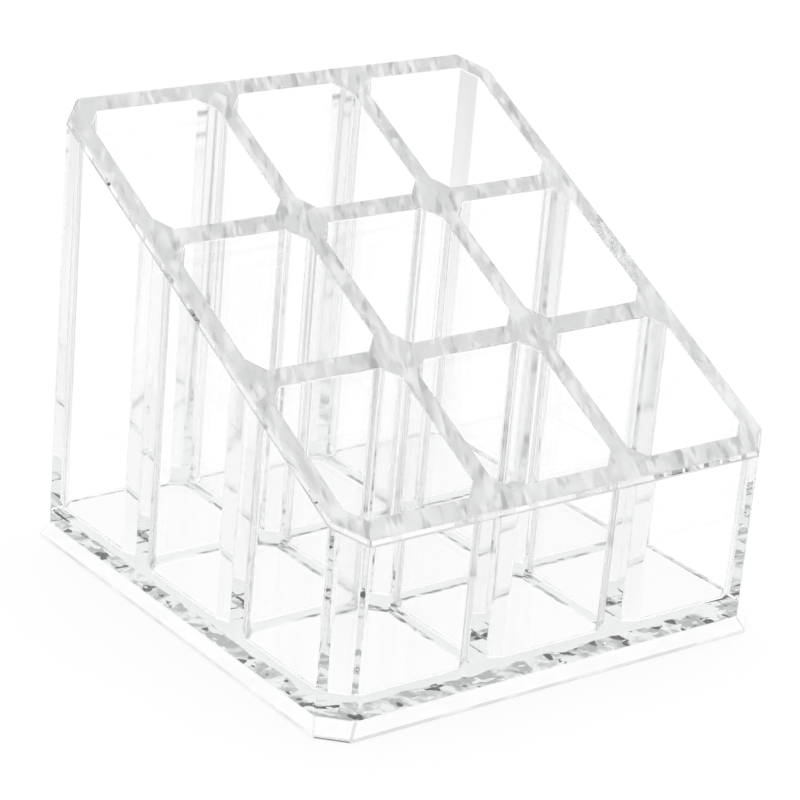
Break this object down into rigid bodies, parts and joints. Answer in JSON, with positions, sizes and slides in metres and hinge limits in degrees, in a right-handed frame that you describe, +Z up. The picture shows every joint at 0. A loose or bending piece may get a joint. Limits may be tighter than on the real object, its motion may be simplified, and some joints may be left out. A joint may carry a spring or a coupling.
{
  "type": "vanity organizer",
  "caption": "Clear moulded vanity organizer: a square block of open pockets for lipsticks and brushes under one sloping top face, bonded to a wider bevelled base plate.",
  "frame": {"origin": "middle of the underside of the base plate, on the surface that the organizer stands on", "axes": "+Z up, the low front wall towards -Y, the high back wall towards +Y, +X to the right as seen from the front"},
  "size_m": [0.0922, 0.0922, 0.0787],
  "materials": {
    "clear_body": "clear moulded polystyrene, polished outer faces, faintly wavy rims",
    "clear_plate": "clear moulded polystyrene, polished bevel and lip",
    "cured_cement": "cured clear cement with grey mottles near its edge"
  },
  "bodies": {
    "root": {"pocket_body": "clear_body", "base_plate": "clear_plate", "bond_film": "cured_cement"}
  },
  "joints": []
}
